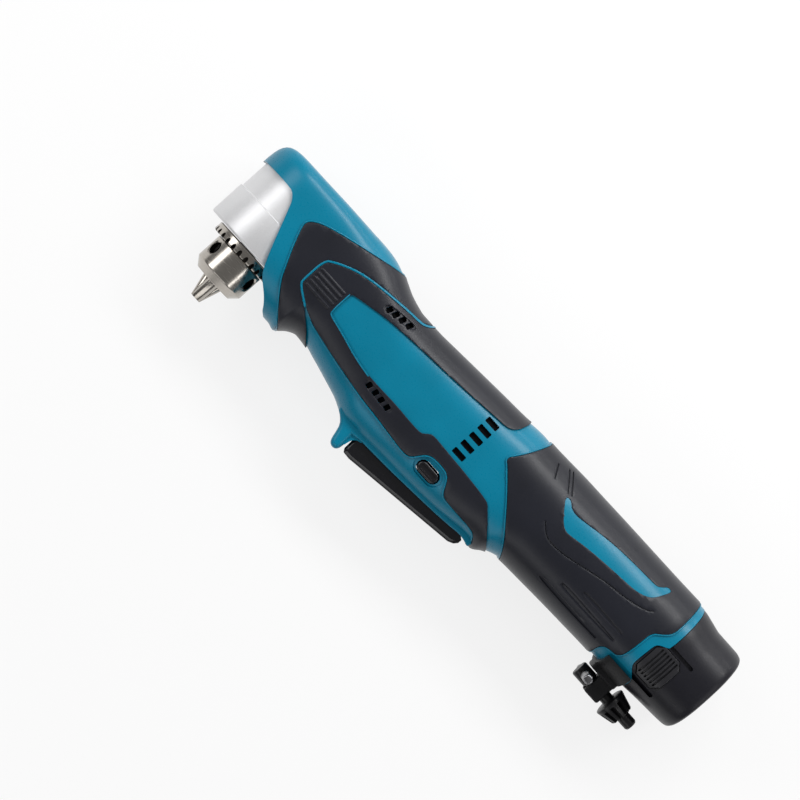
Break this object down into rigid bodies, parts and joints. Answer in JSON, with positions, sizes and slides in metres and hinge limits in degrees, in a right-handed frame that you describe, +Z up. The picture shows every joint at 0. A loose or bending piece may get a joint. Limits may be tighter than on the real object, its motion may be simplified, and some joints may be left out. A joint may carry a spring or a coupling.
{
  "type": "right angle drill",
  "caption": "Cordless right angle drill: slim clamshell handle with soft grips, alloy gear head, keyed chuck square to the handle, paddle trigger and stick battery.",
  "frame": {"origin": "under the middle of the box of the drill lying on its right side, on the floor", "axes": "+X along the handle from the gear head to the battery, +Y away from the chuck, +Z up through the left side"},
  "size_m": [0.3099, 0.079, 0.0524],
  "materials": {
    "housing_plastic": "fine moulded texture",
    "soft_grip": "matte elastomer",
    "gloss_black": "semi gloss",
    "black_plastic": "moulded",
    "battery_plastic": "fine moulded texture",
    "head_alloy": "bead blasted casting",
    "chuck_steel": "ground and polished",
    "key_steel": "black oxide",
    "gear_steel": "machined",
    "spring_steel": "drawn wire",
    "bronze": "sintered",
    "copper": "wound",
    "magnet": "ferrite",
    "cell_wrap": "wrapped",
    "contact": "plated",
    "lead_jacket": "insulated",
    "lamp_clear": "clear",
    "board_green": "laminate"
  },
  "bodies": {
    "housing": {"housing_left": "housing_plastic", "housing_right": "housing_plastic", "neck_grip_left": "soft_grip", "neck_grip_right": "soft_grip", "side_panel_left": "soft_grip", "side_panel_right": "soft_grip", "rear_grip_left": "soft_grip", "rear_grip_right": "soft_grip", "housing_screws": "gear_steel", "gear_case": "head_alloy", "bearing_box": "head_alloy", "spindle_bearing": "gear_steel", "spindle_bush": "bronze", "pinion_bearing": "gear_steel", "ring_gear": "gear_steel", "motor_can": "gear_steel", "motor_magnets": "magnet", "end_bell": "black_plastic", "carbon_brushes": "magnet", "switch_body": "black_plastic", "trigger_pin": "gear_steel", "terminal_block": "black_plastic", "terminal_blades": "contact", "power_leads": "lead_jacket", "motor_leads": "lead_jacket", "lamp_lens": "lamp_clear", "lamp_board": "board_green", "key_holder": "soft_grip"},
    "spindle": {"spindle": "gear_steel", "crown_gear": "gear_steel", "chuck_body": "chuck_steel"},
    "sleeve": {"chuck_sleeve": "chuck_steel", "jaw_nut": "bronze"},
    "jaw_1": {"jaw_1": "chuck_steel"},
    "jaw_2": {"jaw_2": "chuck_steel"},
    "jaw_3": {"jaw_3": "chuck_steel"},
    "pinion": {"bevel_pinion": "gear_steel", "planet_carrier": "gear_steel", "planet_pins": "gear_steel"},
    "planet_1": {"planet_gear_1": "gear_steel"},
    "planet_2": {"planet_gear_2": "gear_steel"},
    "planet_3": {"planet_gear_3": "gear_steel"},
    "armature": {"armature_shaft": "gear_steel", "armature_core": "copper", "commutator": "copper", "sun_gear": "gear_steel"},
    "trigger": {"trigger_lever": "gloss_black"},
    "plunger": {"switch_plunger": "black_plastic", "plunger_spring": "spring_steel"},
    "reverse": {"reverse_button": "gloss_black"},
    "battery": {"battery_shell": "battery_plastic", "battery_stick": "battery_plastic", "battery_cells": "cell_wrap", "battery_terminals": "contact"},
    "release_left": {"release_button_left": "black_plastic", "release_spring_left": "spring_steel"},
    "release_right": {"release_button_right": "black_plastic", "release_spring_right": "spring_steel"},
    "key": {"chuck_key": "key_steel", "key_bar": "key_steel"}
  },
  "joints": [
    {"name": "chuck_spin", "type": "hinge", "parent": "housing", "child": "spindle", "pos_m": [-0.13, 0.00045, 0.0262], "axis": [0, 1, 0], "continuous": true},
    {"name": "sleeve_turn", "type": "hinge", "parent": "spindle", "child": "sleeve", "pos_m": [-0.13, -0.01955, 0.0262], "axis": [0, 1, 0], "range_deg": [0, 1944]},
    {"name": "jaw_1_slide", "type": "slide", "parent": "spindle", "child": "jaw_1", "axis": [-0.2885, 0.9511, -0.1107], "range_m": [0, 0.01351]},
    {"name": "jaw_2_slide", "type": "slide", "parent": "spindle", "child": "jaw_2", "axis": [0.2402, 0.9511, -0.1945], "range_m": [0, 0.01351]},
    {"name": "jaw_3_slide", "type": "slide", "parent": "spindle", "child": "jaw_3", "axis": [0.0483, 0.9511, 0.3052], "range_m": [0, 0.01351]},
    {"name": "pinion_spin", "type": "hinge", "parent": "housing", "child": "pinion", "pos_m": [-0.105, 0.01045, 0.0262], "axis": [1, 0, 0], "continuous": true},
    {"name": "planet_1_spin", "type": "hinge", "parent": "pinion", "child": "planet_1", "pos_m": [-0.086, 0.01045, 0.0154], "axis": [1, 0, 0], "continuous": true},
    {"name": "planet_2_spin", "type": "hinge", "parent": "pinion", "child": "planet_2", "pos_m": [-0.086, 0.0198, 0.0316], "axis": [1, 0, 0], "continuous": true},
    {"name": "planet_3_spin", "type": "hinge", "parent": "pinion", "child": "planet_3", "pos_m": [-0.086, 0.0011, 0.0316], "axis": [1, 0, 0], "continuous": true},
    {"name": "armature_spin", "type": "hinge", "parent": "housing", "child": "armature", "pos_m": [-0.05, 0.01045, 0.0262], "axis": [1, 0, 0], "continuous": true},
    {"name": "trigger_pull", "type": "hinge", "parent": "housing", "child": "trigger", "pos_m": [0.025, -0.01855, 0.0262], "axis": [0, 0, -1], "range_deg": [0, 6], "stiffness_Nm_per_rad": 0.5, "springref_deg": -5.73},
    {"name": "plunger_slide", "type": "slide", "parent": "housing", "child": "plunger", "axis": [0, 1, 0], "range_m": [0, 0.0051], "deforming": ["plunger_spring"]},
    {"name": "reverse_slide", "type": "slide", "parent": "housing", "child": "reverse", "axis": [0, 0, 1], "range_m": [-0.0035, 0.0035]},
    {"name": "battery_slide", "type": "slide", "parent": "housing", "child": "battery", "axis": [1, 0, 0], "range_m": [0, 0.09]},
    {"name": "release_left_press", "type": "slide", "parent": "battery", "child": "release_left", "axis": [0, 0, -1], "range_m": [0, 0.002], "stiffness_N_per_m": 500, "springref_m": -0.001, "deforming": ["release_spring_left"]},
    {"name": "release_right_press", "type": "slide", "parent": "battery", "child": "release_right", "axis": [0, 0, 1], "range_m": [0, 0.002], "stiffness_N_per_m": 500, "springref_m": -0.001, "deforming": ["release_spring_right"]},
    {"name": "key_pull", "type": "slide", "parent": "housing", "child": "key", "axis": [0, -1, 0], "range_m": [0, 0.04]}
  ],
  "couplings": [
    {"joint": "jaw_1_slide", "follows": "sleeve_turn", "m_per_rad": 0.00039789},
    {"joint": "jaw_2_slide", "follows": "sleeve_turn", "m_per_rad": 0.00039789},
    {"joint": "jaw_3_slide", "follows": "sleeve_turn", "m_per_rad": 0.00039789},
    {"joint": "pinion_spin", "follows": "chuck_spin", "ratio": 3},
    {"joint": "planet_1_spin", "follows": "chuck_spin", "ratio": -8.4},
    {"joint": "planet_2_spin", "follows": "chuck_spin", "ratio": -8.4},
    {"joint": "planet_3_spin", "follows": "chuck_spin", "ratio": -8.4},
    {"joint": "armature_spin", "follows": "chuck_spin", "ratio": 13.5},
    {"joint": "plunger_slide", "follows": "trigger_pull", "m_per_rad": 0.0475}
  ]
}
